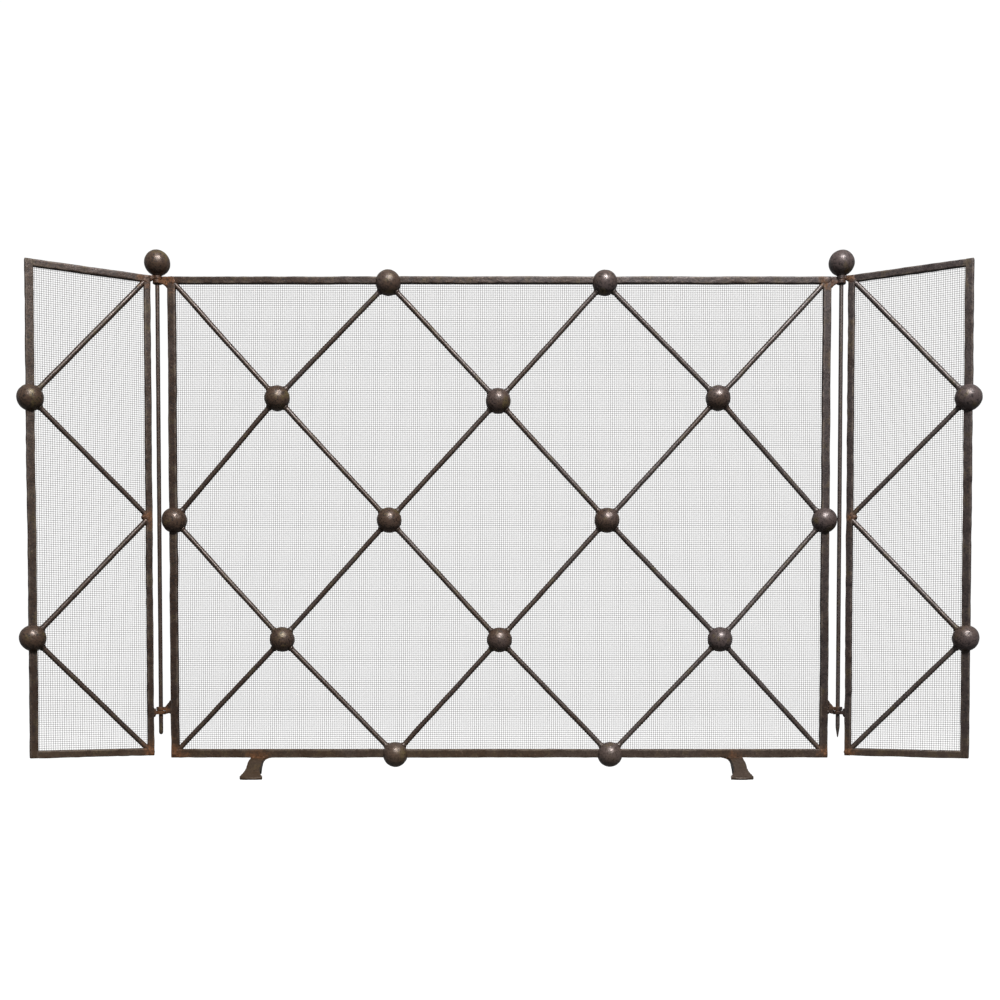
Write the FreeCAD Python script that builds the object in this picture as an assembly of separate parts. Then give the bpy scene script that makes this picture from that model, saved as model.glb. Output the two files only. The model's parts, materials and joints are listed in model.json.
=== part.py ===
import FreeCAD, Part
import math
import os

# Three-panel hearth screen of forged iron: a wide centre panel on two feet, and two narrow wings that hang
# on long lift-out hinge pins. Millimetres. +X runs to the right, the front faces -Y, +Z is up, and the floor
# is z = 0. Every panel is first made about its own plane, y = 0, and the whole screen is centred last.

# Lattice of diagonal rods
HALF_WIDTH = 164.4            # half a diamond's width
LAST_COLUMN = 3               # lattice columns run from -3 to 3 across the centre panel
ROW_Z = (35.8, 209.0, 389.0, 569.0, 748.2)  # hand-set rows, from the bottom rail's centreline to the top's
BALL_OFFSETS = {              # how far right of and above its even place each ball sits, by column and row
    (-1, 0): (5.9, -1.7),
    (1, 0): (3.9, -1.7),
    (-2, 1): (-1.0, 0.0),
    (0, 1): (0.0, -0.8),
    (2, 1): (6.2, 0.0),
    (-3, 2): (1.0, 0.0),
    (-1, 2): (-2.6, 0.0),
    (1, 2): (-1.4, 0.0),
    (3, 2): (-1.0, 0.0),
    (-2, 3): (-6.8, 3.4),
    (0, 3): (-2.0, -0.8),
    (2, 3): (1.3, 3.4),
    (-1, 4): (-2.9, -3.4),
    (1, 4): (-5.6, -3.4),
}
WING_BALLS_Z = (208.0, 555.0)  # a wing's two balls sit a little lower than the centre panel's
WING_JOINT_Z = 392.0          # where a wing's two middle rods meet on its hinge stile
ROD_DIAMETER = 7.8
BALL_RADIUS = 19.0

# Flat bars of the frames
BAR_DEPTH = 8.0
TOP_RAIL_WIDTH = 10.4
BOTTOM_RAIL_WIDTH = 13.0
WING_BOTTOM_RAIL_WIDTH = 11.0
WING_BOTTOM_RAIL_Z = 38.4
STILE_WIDTH = 12.0
WING_STILE_WIDTH = 12.0
HINGE_STILE_WIDTH = 9.6
WING_SPAN = 166.8             # between the centrelines of a wing's two stiles

# Hinges
PIN_TO_STILE = 21.6           # pin axis to the centreline of the centre panel's stile
PIN_TO_WING = 15.4            # pin axis to the centreline of the wing's hinge stile
WING_ANGLE = 26.4             # degrees that each wing stands forward of the centre panel's plane
PIN_RADIUS = 3.2
PIN_CLEARANCE = 0.08
EYE_RADIUS = 6.8
EYE_HEIGHT = 5.6
EYE_GAP = 0.3
EYE_WEB_DEPTH = 6.0
WEB_START = 7.6               # a web passes the other eye's ring at this distance from the pin axis
UPPER_EYE_Z = 743.0           # underside of the lower of the two top eyes
LOWER_EYE_Z = 95.0            # underside of the lower of the two bottom eyes

# Heights of an eye's web: its underside and its top, beside the other eye's ring and at the stile's face
CENTRE_TOP_WEB = ((743.0, 753.4), (737.0, 753.4))
CENTRE_BOTTOM_WEB = ((95.6, 107.6), (97.8, 116.5))
WING_TOP_WEB = ((746.9, 754.5), (745.5, 753.4))
WING_BOTTOM_WEB = ((94.2, 104.4), (91.2, 102.6))

# Pins and finials
FINIAL_Z = 774.2              # centre of the finial ball
NECK_SEAT_RADIUS = 6.5
NECK_TOP_RADIUS = 9.0
NECK_HEIGHT = 4.0
PIN_SOCKET_DEPTH = 12.0       # how far the pin goes up into the finial
LEFT_PIN_TIP_Z = 64.7
RIGHT_PIN_TIP_Z = 60.2
PIN_POINT_LENGTH = 16.0
PIN_POINT_RADIUS = 0.8

# Feet
LEFT_FOOT_X = -367.5
RIGHT_FOOT_X = 359.5
FOOT_REACH = 66.0             # from the panel's plane to the end of a toe
FOOT_THICKNESS = 6.0
TOE_THICKNESS = 3.6
TOE_LAND = 10.0               # flat length of a toe on the floor
TOE_SLOPE_LENGTH = 4.0        # the worn slope on the end of a toe, and how much it drops
TOE_SLOPE_DROP = 1.0
TOE_FAN_LENGTH = 5.0          # how far the bowed end of a toe stands out past its two corners
LEG_ROOT_TOP = 6.0            # flat length under the rail, on the upper and on the lower face of a leg
LEG_ROOT_UNDER = 4.0
LEG_BEND = (40.0, 0.66)       # a point on the upper face: distance from the root, share of the arch's height
LEG_BEND_UNDER = (34.0, 0.46)  # the same for the lower face
FRONT_LEG_YAW = 1.0           # degrees that the front leg turns inwards
REAR_LEG_YAW = 16.0           # degrees that the rear leg turns outwards
ROOT_HALF_WIDTH = 10.5
WAIST_HALF_WIDTH = 10.2
WAIST_Y = 44.0                # distance from the root to where the leg starts to widen
FLARE_BEND = (12.4, 54.0)     # a point on the flare of the widest toe: half width, distance from the root
FRONT_TOE_HALF_WIDTH = 17.5
REAR_TOE_HALF_WIDTH = 10.5
TONGUE_LENGTH = 14.0
TONGUE_DROP = 7.0
TONGUE_LAP = 4.0              # how far the tongue reaches back into the leg
TONGUE_HOLLOW = (0.4, 0.45)   # deepest point of its hollow, as shares of its length and of its drop

# Woven mesh and what holds it
MESH_THICKNESS = 1.0
MESH_MARGIN = 1.5             # the mesh stops this far inside the frame's outer edges
STRIP_WIDTH = 8.0
STRIP_THICKNESS = 1.5
BALL_HOLE_CLEARANCE = 0.3
SCREW_RADIUS = 1.5
SCREW_DEPTH = 4.0             # depth of the screw in the frame bar
SCREW_HEAD_RADIUS = 2.9
SCREW_HEAD_HEIGHT = 1.6
SCREW_SLOT_WIDTH = 0.8
SCREW_SLOT_DEPTH = 0.7
SCREW_COLUMNS = (-2.5, -1.5, 0, 1.5, 2.5)  # lattice columns of the screws in the centre panel's rails

# Derived places
TOP_ROW = len(ROW_Z) - 1
BOTTOM_RAIL_Z = ROW_Z[0]
TOP_RAIL_Z = ROW_Z[TOP_ROW]
SCREW_ROWS_Z = [(low + high) / 2 for low, high in zip(ROW_Z, ROW_Z[1:])]
STILE_X = LAST_COLUMN * HALF_WIDTH
PIN_X = STILE_X + PIN_TO_STILE
OUTER_STILE_X = PIN_TO_WING + WING_SPAN
FRAME_LOW_Z = BOTTOM_RAIL_Z - BOTTOM_RAIL_WIDTH / 2
WING_LOW_Z = WING_BOTTOM_RAIL_Z - WING_BOTTOM_RAIL_WIDTH / 2
FRAME_HIGH_Z = TOP_RAIL_Z + TOP_RAIL_WIDTH / 2
BACK_Y = BAR_DEPTH / 2
STRIP_Y = BACK_Y + MESH_THICKNESS
STRIP_BACK_Y = STRIP_Y + STRIP_THICKNESS

V = FreeCAD.Vector
ORIGIN = V(0, 0, 0)
X_AXIS = V(1, 0, 0)
Y_AXIS = V(0, 1, 0)
Z_AXIS = V(0, 0, 1)


# ---- general helpers ----

def box(low, high):
    """An upright box between two corners."""
    size = high - low
    return Part.makeBox(size.x, size.y, size.z, low)


def prism(edges, travel):
    """A closed outline of edges, pushed along a vector."""
    return Part.Face(Part.Wire(edges)).extrude(travel)


def lines(points):
    """Straight edges that join the points and close the loop."""
    following = points[1:] + points[:1]
    return [Part.LineSegment(a, b).toShape() for a, b in zip(points, following)]


def arc(start, middle, end):
    return Part.Arc(start, middle, end).toShape()


def line(start, end):
    return Part.LineSegment(start, end).toShape()


def group(shapes):
    """One shape of all the separate solids in a list of shapes."""
    return Part.makeCompound([solid for shape in shapes for solid in shape.Solids])


def mirrored(shape):
    """The same shape on the other side of the screen."""
    return shape.mirror(ORIGIN, X_AXIS)


# ---- frames, rods and balls ----

def stile(x, width, low_z):
    low = V(x - width / 2, -BAR_DEPTH / 2, low_z)
    high = V(x + width / 2, BAR_DEPTH / 2, FRAME_HIGH_Z)
    return box(low, high)


def rail(low_x, high_x, z, width):
    low = V(low_x, -BAR_DEPTH / 2, z - width / 2)
    high = V(high_x, BAR_DEPTH / 2, z + width / 2)
    return box(low, high)


def ball(point):
    return Part.makeSphere(BALL_RADIUS, point)


def rod(start, end):
    along = end - start
    return Part.makeCylinder(ROD_DIAMETER / 2, along.Length, start, along)


def ball_clearance(point):
    """The round hole through the mesh and the strips at a ball."""
    radius = BALL_RADIUS + BALL_HOLE_CLEARANCE
    depth = STRIP_BACK_Y - BACK_Y
    return Part.makeCylinder(radius, depth, V(point.x, BACK_Y, point.z), Y_AXIS)


# ---- mesh, strips and screws ----

def mesh_sheet(low_x, high_x, low_z, ball_points):
    low = V(low_x + MESH_MARGIN, BACK_Y, low_z + MESH_MARGIN)
    high = V(high_x - MESH_MARGIN, STRIP_Y, FRAME_HIGH_Z - MESH_MARGIN)
    return box(low, high).cut([ball_clearance(p) for p in ball_points])


def upright_strip(x, low_z, ball_points):
    low = V(x - STRIP_WIDTH / 2, STRIP_Y, low_z + MESH_MARGIN)
    high = V(x + STRIP_WIDTH / 2, STRIP_BACK_Y, FRAME_HIGH_Z - MESH_MARGIN)
    return box(low, high).cut([ball_clearance(p) for p in ball_points])


def level_strip(low_x, high_x, z, ball_points):
    low = V(low_x + STRIP_WIDTH / 2, STRIP_Y, z - STRIP_WIDTH / 2)
    high = V(high_x - STRIP_WIDTH / 2, STRIP_BACK_Y, z + STRIP_WIDTH / 2)
    return box(low, high).cut([ball_clearance(p) for p in ball_points])


def screw(x, z):
    """A slotted round-head screw that enters the frame from the back."""
    shank_start = V(x, BACK_Y - SCREW_DEPTH, z)
    shank_length = SCREW_DEPTH + MESH_THICKNESS + STRIP_THICKNESS
    shank = Part.makeCylinder(SCREW_RADIUS, shank_length, shank_start, Y_AXIS)
    dome_radius = (SCREW_HEAD_HEIGHT ** 2 + SCREW_HEAD_RADIUS ** 2) / (2 * SCREW_HEAD_HEIGHT)
    crown_y = STRIP_BACK_Y + SCREW_HEAD_HEIGHT
    dome = Part.makeSphere(dome_radius, V(x, crown_y - dome_radius, z))
    blank = Part.makeCylinder(SCREW_HEAD_RADIUS, SCREW_HEAD_HEIGHT, V(x, STRIP_BACK_Y, z), Y_AXIS)
    slot_low = V(x - SCREW_HEAD_RADIUS, crown_y - SCREW_SLOT_DEPTH, z - SCREW_SLOT_WIDTH / 2)
    slot_high = V(x + SCREW_HEAD_RADIUS, crown_y, z + SCREW_SLOT_WIDTH / 2)
    head = blank.common(dome).cut(box(slot_low, slot_high))
    return shank.fuse(head).removeSplitter()


def panel_nodes(stiles, rails, ball_points, spheres, rods, screw_places, mesh_span, strip_rows):
    """The nodes that every panel has, trimmed so that no two of them share any space.

    stiles and rails are name to solid, rods is name to list of solids, spheres is name to lattice points,
    and strip_rows are the heights of the two level strips.
    """
    nodes = {}
    screws = [screw(x, z) for x, z in screw_places]
    bars = dict(stiles)
    bars.update(rails)
    full_balls = [ball(p) for p in ball_points]
    for name, bar in bars.items():
        nodes[name] = bar.cut(screws)
    for name, solids in rods.items():
        trimmed = [solid.cut(full_balls + list(bars.values())) for solid in solids]
        nodes[name] = group(trimmed)
    for name, points in spheres.items():
        nodes[name] = group([ball(p).cut(list(bars.values())) for p in points])
    low_x, high_x, low_strip_x, high_strip_x, low_z = mesh_span
    nodes["mesh"] = mesh_sheet(low_x, high_x, low_z, ball_points).cut(screws)
    uprights = [upright_strip(x, low_z, ball_points) for x in (low_strip_x, high_strip_x)]
    levels = [level_strip(low_strip_x, high_strip_x, z, ball_points) for z in strip_rows]
    nodes["side_strips"] = group([s.cut(screws) for s in uprights])
    nodes["level_strips"] = group([s.cut(screws) for s in levels])
    nodes["strip_screws"] = group(screws)
    return nodes


# ---- centre panel ----

def lattice(column, row):
    right, up = BALL_OFFSETS.get((column, row), (0, 0))
    return V(column * HALF_WIDTH + right, 0, ROW_Z[row] + up)


def has_ball(column, row):
    """A ball sits on every lattice point but the frame's four corners."""
    at_corner = abs(column) == LAST_COLUMN and row in (0, TOP_ROW)
    return (column + row) % 2 == 1 and not at_corner


def rod_line(column, row, turn):
    """The rods down from a lattice point until they meet the frame.

    They run to the right for a turn of 1. For -1 they start at the opposite column and run to the left.
    """
    solids = []
    while row > 0 and column < LAST_COLUMN:
        solids.append(rod(lattice(turn * column, row), lattice(turn * (column + 1), row - 1)))
        column += 1
        row -= 1
    return solids


def centre_panel():
    half_frame = STILE_X + STILE_WIDTH / 2
    inner = STILE_X - STILE_WIDTH / 2
    stiles = {
        "left_stile": stile(-STILE_X, STILE_WIDTH, FRAME_LOW_Z),
        "right_stile": stile(STILE_X, STILE_WIDTH, FRAME_LOW_Z),
    }
    rails = {
        "top_rail": rail(-inner, inner, TOP_RAIL_Z, TOP_RAIL_WIDTH),
        "bottom_rail": rail(-inner, inner, BOTTOM_RAIL_Z, BOTTOM_RAIL_WIDTH),
    }
    row_names = ["bottom_balls", "lower_balls", "middle_balls", "upper_balls", "top_balls"]
    columns = range(-LAST_COLUMN, LAST_COLUMN + 1)
    spheres = {}
    for row, name in enumerate(row_names):
        spheres[name] = [lattice(column, row) for column in columns if has_ball(column, row)]
    ball_points = [p for points in spheres.values() for p in points]
    rods = {}
    line_starts = [(-LAST_COLUMN, TOP_ROW - 2), (-LAST_COLUMN, TOP_ROW), (-1, TOP_ROW), (1, TOP_ROW)]
    for number, start in enumerate(line_starts, 1):
        rods[f"falling_rods_{number}"] = rod_line(*start, 1)
        rods[f"rising_rods_{number}"] = rod_line(*start, -1)
    places = [(x, z) for x in (-STILE_X, STILE_X) for z in SCREW_ROWS_Z]
    strip_rows = (BOTTOM_RAIL_Z, TOP_RAIL_Z)
    places += [(column * HALF_WIDTH, z) for column in SCREW_COLUMNS for z in strip_rows]
    span = (-half_frame, half_frame, -STILE_X, STILE_X, FRAME_LOW_Z)
    return panel_nodes(stiles, rails, ball_points, spheres, rods, places, span, strip_rows)


# ---- wings ----

def wing_panel():
    """The left wing as it lies when open flat, with the pin's axis at x = 0 and the wing towards -X."""
    outer_x = -OUTER_STILE_X
    hinge_x = -PIN_TO_WING
    stiles = {
        "outer_stile": stile(outer_x, WING_STILE_WIDTH, WING_LOW_Z),
        "hinge_stile": stile(hinge_x, HINGE_STILE_WIDTH, WING_LOW_Z),
    }
    inner_low = outer_x + WING_STILE_WIDTH / 2
    inner_high = hinge_x - HINGE_STILE_WIDTH / 2
    rails = {
        "top_rail": rail(inner_low, inner_high, TOP_RAIL_Z, TOP_RAIL_WIDTH),
        "bottom_rail": rail(inner_low, inner_high, WING_BOTTOM_RAIL_Z, WING_BOTTOM_RAIL_WIDTH),
    }
    outer_points = [V(outer_x, 0, z) for z in WING_BALLS_Z]
    hinge_points = [V(hinge_x, 0, z) for z in (WING_BOTTOM_RAIL_Z, WING_JOINT_Z, TOP_RAIL_Z)]
    lower_ball, upper_ball = outer_points
    corner_low, middle, corner_high = hinge_points
    reach = OUTER_STILE_X
    above_middle = box(V(-2 * reach, -reach, middle.z), V(reach, reach, 2 * corner_high.z))
    upper_rods = [rod(corner_high, upper_ball), rod(upper_ball, middle).common(above_middle)]
    lower_rods = [rod(middle, lower_ball).cut(above_middle), rod(lower_ball, corner_low)]
    rods = {"upper_rods": upper_rods, "lower_rods": lower_rods}
    places = [(x, z) for x in (outer_x, hinge_x) for z in SCREW_ROWS_Z]
    strip_rows = (WING_BOTTOM_RAIL_Z, TOP_RAIL_Z)
    places += [((outer_x + hinge_x) / 2, z) for z in strip_rows]
    span = (outer_x - WING_STILE_WIDTH / 2, hinge_x + HINGE_STILE_WIDTH / 2, outer_x, hinge_x, WING_LOW_Z)
    return panel_nodes(stiles, rails, outer_points, {"balls": outer_points}, rods, places, span, strip_rows)


# ---- hinge eyes ----

def eye(low_z, face_x, web):
    """A ring about the pin's axis, x = 0, with a web that reaches to the stile's face at face_x.

    web holds the heights of the web's underside and top, first where it starts and then at the face.
    """
    high_z = low_z + EYE_HEIGHT
    web_x = math.copysign(WEB_START, face_x)
    half_depth = EYE_WEB_DEPTH / 2
    (start_low_z, start_high_z), (root_low_z, root_high_z) = web
    outline = [
        V(web_x, -half_depth, start_low_z),
        V(face_x, -half_depth, root_low_z),
        V(face_x, -half_depth, root_high_z),
        V(web_x, -half_depth, start_high_z),
    ]
    plate = prism(lines(outline), V(0, EYE_WEB_DEPTH, 0))
    neck = box(V(min(0, web_x), -half_depth, low_z), V(max(0, web_x), half_depth, high_z))
    ring = Part.makeCylinder(EYE_RADIUS, EYE_HEIGHT, V(0, 0, low_z))
    bore = Part.makeCylinder(PIN_RADIUS + PIN_CLEARANCE, EYE_HEIGHT, V(0, 0, low_z))
    return ring.fuse([neck, plate]).removeSplitter().cut(bore)


def centre_eyes():
    """The left stile's two eyes, about the pin's axis at x = 0."""
    face_x = PIN_TO_STILE - STILE_WIDTH / 2
    stacked_z = LOWER_EYE_Z + EYE_HEIGHT + EYE_GAP
    top = eye(UPPER_EYE_Z, face_x, CENTRE_TOP_WEB)
    bottom = eye(stacked_z, face_x, CENTRE_BOTTOM_WEB)
    return {"top_eye": top, "bottom_eye": bottom}


def wing_eyes():
    """The left wing's two eyes, about the pin's axis at x = 0, with the wing open flat."""
    face_x = HINGE_STILE_WIDTH / 2 - PIN_TO_WING
    stacked_z = UPPER_EYE_Z + EYE_HEIGHT + EYE_GAP
    top = eye(stacked_z, face_x, WING_TOP_WEB)
    bottom = eye(LOWER_EYE_Z, face_x, WING_BOTTOM_WEB)
    return {"top_eye": top, "bottom_eye": bottom}


# ---- pins ----

def rounded_pin(tip_z, top_z):
    shaft_z = tip_z + PIN_RADIUS
    shaft = Part.makeCylinder(PIN_RADIUS, top_z - shaft_z, V(0, 0, shaft_z))
    return shaft.fuse(Part.makeSphere(PIN_RADIUS, V(0, 0, shaft_z))).removeSplitter()


def pointed_pin(tip_z, top_z):
    shaft_z = tip_z + PIN_POINT_LENGTH
    point = Part.makeCone(PIN_POINT_RADIUS, PIN_RADIUS, PIN_POINT_LENGTH, V(0, 0, tip_z))
    shaft = Part.makeCylinder(PIN_RADIUS, top_z - shaft_z, V(0, 0, shaft_z))
    return shaft.fuse(point).removeSplitter()


def finial(seat_z):
    """A ball on a short cone neck, with a blind socket for the pin."""
    neck = Part.makeCone(NECK_SEAT_RADIUS, NECK_TOP_RADIUS, NECK_HEIGHT, V(0, 0, seat_z))
    socket = Part.makeCylinder(PIN_RADIUS, PIN_SOCKET_DEPTH, V(0, 0, seat_z))
    return ball(V(0, 0, FINIAL_Z)).fuse(neck).cut(socket)


# ---- feet ----

def leg(toe_half_width):
    """Half a foot: a flat bar that arches from under the rail down to a fanned toe at -Y."""
    top_z = FRAME_LOW_Z
    under_z = top_z - FOOT_THICKNESS
    toe_y = -FOOT_REACH
    bend_y, bend_share = LEG_BEND
    flare_half_width, flare_y = FLARE_BEND
    flare_share = (flare_half_width - WAIST_HALF_WIDTH) / (FRONT_TOE_HALF_WIDTH - WAIST_HALF_WIDTH)
    under_bend_y, under_bend_share = LEG_BEND_UNDER
    root = V(0, 0, top_z)
    arch_start = V(0, -LEG_ROOT_TOP, top_z)
    slope_start = V(0, toe_y + TOE_SLOPE_LENGTH, TOE_THICKNESS + TOE_SLOPE_DROP)
    toe_top = V(0, toe_y, TOE_THICKNESS)
    toe_end = V(0, toe_y, 0)
    heel = V(0, toe_y + TOE_LAND, 0)
    under_start = V(0, -LEG_ROOT_UNDER, under_z)
    root_under = V(0, 0, under_z)
    side = [
        line(root, arch_start),
        arc(arch_start, V(0, -bend_y, bend_share * top_z), slope_start),
        line(slope_start, toe_top),
        line(toe_top, toe_end),
        line(toe_end, heel),
        arc(heel, V(0, -under_bend_y, under_bend_share * top_z), under_start),
        line(under_start, root_under),
        line(root_under, root),
    ]
    width = 2 * FRONT_TOE_HALF_WIDTH
    arch = prism(side, V(2 * width, 0, 0))
    arch.translate(V(-width, 0, 0))
    flare_x = WAIST_HALF_WIDTH + flare_share * (toe_half_width - WAIST_HALF_WIDTH)
    left = [
        V(-ROOT_HALF_WIDTH, 0, 0),
        V(-WAIST_HALF_WIDTH, -WAIST_Y, 0),
        V(-flare_x, -flare_y, 0),
        V(-toe_half_width, toe_y + TOE_FAN_LENGTH, 0),
    ]
    right = [V(-p.x, p.y, 0) for p in left]
    plan = [
        line(right[0], left[0]),
        line(left[0], left[1]),
        arc(left[1], left[2], left[3]),
        arc(left[3], toe_end, right[3]),
        arc(right[3], right[2], right[1]),
        line(right[1], right[0]),
    ]
    return arch.common(prism(plan, V(0, 0, top_z)))


def tongue():
    """The tapered end of the foot bar that is drawn out along the rail, towards +X."""
    low_z = FRAME_LOW_Z - TONGUE_DROP
    start_x = ROOT_HALF_WIDTH - TONGUE_LAP
    end_x = ROOT_HALF_WIDTH + TONGUE_LENGTH
    half_depth = BAR_DEPTH / 2
    root_low = V(start_x, -half_depth, low_z)
    root_high = V(start_x, -half_depth, FRAME_LOW_Z)
    tip = V(end_x, -half_depth, FRAME_LOW_Z)
    length_share, drop_share = TONGUE_HOLLOW
    hollow = V(start_x + length_share * TONGUE_LENGTH, -half_depth, FRAME_LOW_Z - drop_share * TONGUE_DROP)
    outline = [arc(root_low, hollow, tip), line(tip, root_high), line(root_high, root_low)]
    return prism(outline, V(0, BAR_DEPTH, 0))


def foot():
    """The left foot, with its root at x = 0."""
    front = leg(FRONT_TOE_HALF_WIDTH)
    front.rotate(ORIGIN, Z_AXIS, FRONT_LEG_YAW)
    rear = leg(REAR_TOE_HALF_WIDTH)
    rear.rotate(ORIGIN, Z_AXIS, 180 + REAR_LEG_YAW)
    return front.fuse([rear, tongue()]).removeSplitter()


# ---- assembly ----

def assemble():
    nodes = {f"centre_{name}": shape for name, shape in centre_panel().items()}
    left_foot = foot()
    right_foot = mirrored(left_foot)
    left_foot.translate(V(LEFT_FOOT_X, 0, 0))
    right_foot.translate(V(RIGHT_FOOT_X, 0, 0))
    nodes["left_foot"] = left_foot
    nodes["right_foot"] = right_foot

    for name, shape in centre_eyes().items():
        shape.translate(V(-PIN_X, 0, 0))
        nodes[f"centre_left_{name}"] = shape
        nodes[f"centre_right_{name}"] = mirrored(shape)

    wing = wing_panel()
    wing.update(wing_eyes())
    for name, shape in wing.items():
        shape.rotate(ORIGIN, Z_AXIS, WING_ANGLE)
        shape.translate(V(-PIN_X, 0, 0))
        nodes[f"left_wing_{name}"] = shape
        nodes[f"right_wing_{name}"] = mirrored(shape)

    seat_z = UPPER_EYE_Z + 2 * (EYE_HEIGHT + EYE_GAP)
    pin_top_z = seat_z + PIN_SOCKET_DEPTH
    pins = {
        "left": (rounded_pin(LEFT_PIN_TIP_Z, pin_top_z), -PIN_X),
        "right": (pointed_pin(RIGHT_PIN_TIP_Z, pin_top_z), PIN_X),
    }
    for side, (pin, x) in pins.items():
        knob = finial(seat_z)
        pin.translate(V(x, 0, 0))
        knob.translate(V(x, 0, 0))
        nodes[f"{side}_pin_rod"] = pin
        nodes[f"{side}_pin_finial"] = knob
    return nodes


def centred(nodes):
    """Moves every node so that the screen's box is centred on x = 0 and y = 0, and returns the move."""
    boxes = [shape.optimalBoundingBox(False, False) for shape in nodes.values()]
    low_x = min(b.XMin for b in boxes)
    high_x = max(b.XMax for b in boxes)
    low_y = min(b.YMin for b in boxes)
    high_y = max(b.YMax for b in boxes)
    move = V(-(low_x + high_x) / 2, -(low_y + high_y) / 2, 0)
    for shape in nodes.values():
        shape.translate(move)
    return move


os.makedirs("parts", exist_ok=True)
screen = assemble()
shift = centred(screen)
for node, solid in screen.items():
    solid.exportStep(f"parts/{node}.step")

volume = sum(solid.Volume for solid in screen.values())
mesh_volume = sum(solid.Volume for node, solid in screen.items() if node.endswith("_mesh"))
print(f"{len(screen)} nodes, {volume / 1e3:.1f} cm3 in all, {mesh_volume / 1e3:.1f} cm3 of it mesh")
print(f"left pin axis at x = {shift.x - PIN_X:.3f}, y = {shift.y:.3f}; right at x = {shift.x + PIN_X:.3f}")
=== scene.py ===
import itertools
import json
import math

import bmesh
import bpy
import numpy as np
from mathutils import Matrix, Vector


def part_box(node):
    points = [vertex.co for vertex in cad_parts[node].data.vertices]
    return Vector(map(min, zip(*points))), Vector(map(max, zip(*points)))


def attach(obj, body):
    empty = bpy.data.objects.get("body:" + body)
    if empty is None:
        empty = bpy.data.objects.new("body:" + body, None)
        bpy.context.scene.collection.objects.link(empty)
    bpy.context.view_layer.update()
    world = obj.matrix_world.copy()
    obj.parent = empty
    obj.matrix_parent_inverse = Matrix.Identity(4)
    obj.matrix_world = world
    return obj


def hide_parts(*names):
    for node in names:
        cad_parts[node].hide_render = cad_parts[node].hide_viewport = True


# Looks of the three-panel hearth screen: hammered iron bars, forged rods, balls, eyes and feet, weld beads
# and real woven wire, all built round the CAD frame. Metres. Every panel is worked in its own coordinates:
# along the panel, back from its mid-plane, and up.

# Camera
LENS = 44.9
CAMERA_X = 0.001
CAMERA_DISTANCE = 1.897       # in front of the centre panel's plane
CAMERA_HEIGHT = 0.143
CAMERA_PITCH = -1.8
SHIFT_UP = 0.222
FARTHEST = 50

# Lattice and frame
LAST_COLUMN = 3
SPARE = 0.002                 # how far a hidden end runs into the piece that holds it
BALL_BURY = 0.004             # how far a rod runs on under a ball's surface
ROD_FINE = 0.009              # stretch at each end of a rod that has close rings
BAR_CORNER = 0.0013           # worn corner radius of the flat bars
BAR_STEP = 0.0036             # distance between two rings of a hammered bar
BAR_SIDE_POINTS = 4
CORNER_POINTS = 4
ROD_SIDES = 14
ROD_STEP = 0.004

# Hammer marks, each a height and a width
BAR_WANDER = (0.00042, 0.045)
BAR_DENTS = (0.00030, 0.011)
BAR_PITS = (0.00010, 0.0036)
ROD_WANDER = (0.00035, 0.060)
ROD_DENTS = (0.00018, 0.012)
BALL_SWELL = (0.00040, 0.020)
BALL_PITS = (0.00012, 0.0045)
WELD_LUMPS = (0.00050, 0.0042)
FORGED_DENTS = (0.00030, 0.0090)
PIN_DENTS = (0.00008, 0.014)
PIN_WANDER = (0.0, 1.0)
EYE_DENTS = (0.00022, 0.0045)
FOOT_PITS = (0.00012, 0.003)
STRIP_DENTS = (0.00012, 0.012)
STRIP_WANDER = (0.0003, 0.05)
STRIP_STEP = 0.006

# Balls
BALL_FLATS = 46
FLAT_DEPTH = (0.00004, 0.00034)
BALL_SUBDIVISIONS = 5

# Weld collars where a rod meets a ball
COLLAR_HEIGHT = 0.0013
COLLAR_LENGTH = 0.0016
FINE_STEP = 0.0008
ROD_END_RADIUS = 0.0025
CORNER_BURY = 0.005           # how far from a frame's corner a rod that ends there starts

# Weld beads: how far each stands from its joint, and its three half sizes. Beads on a bar's front face are
# sunk into it by FRONT_INSET.
FRONT_INSET = 0.0008
CORNER_FACE_BEADS = ((0.0, (0.0054, 0.0014, 0.0054)), (0.0025, (0.0042, 0.0013, 0.0042)))
CORNER_FILL_BEADS = ((0.0058, (0.0042, 0.0036, 0.0042)), (0.0082, (0.0030, 0.0035, 0.0030)))
JOINT_FILL_BEADS = ((0.0060, (0.0042, 0.0036, 0.0068)), (0.0092, (0.0026, 0.0033, 0.0034)))
JOINT_FACE_BEAD = (0.0018, 0.0008, (0.0040, 0.0016, 0.0062))   # inward and upward from the joint
EYE_BEAD_INSET = 0.0030
EYE_LOW_BEAD = (0.0032, 0.0036, 0.0034)
EYE_HIGH_BEAD = (0.0030, 0.0034, 0.0032)
EYE_MIDDLE_BEAD = (0.0030, 0.0034, 0.0040)
EYE_MIDDLE_INSET = 0.0015
NECK_BEADS = ((0.0042, (0.0060, 0.0060, 0.0042)), (0.0022, (0.0052, 0.0052, 0.0022)))
FOOT_BEAD = (0.0036, 0.0024, 0.0024)
FOOT_BEAD_X = (-0.008, 0.0, 0.008)
FOOT_BEAD_Y = (-0.0042, 0.0042)

# Woven wire
WIRE_PITCH = 0.003175
WIRE_DIAMETER = 0.0005
WIRE_WOBBLE = (0.00022, 0.090)
WIRE_SPLIT = 3                # pieces that the centre panel's wires are divided between, each way
BALL_HOLE = 0.0173            # the wires are cut off just inside the balls
WEAVE_SEED = 77

# Rust beside the welds: at the bottom and at the top, of the left side and of the right
RUST_SHARES = ((1.0, 0.7), (0.7, 0.45))
CORNER_RUST_REACH = 0.022
WING_RUST_REACH = 0.019
EYE_RUST_REACH = 0.012
FOOT_RUST_REACH = 0.018
WELD_RUST = 0.08
EYE_RUST = 0.12
FOOT_RUST = 0.05

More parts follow.
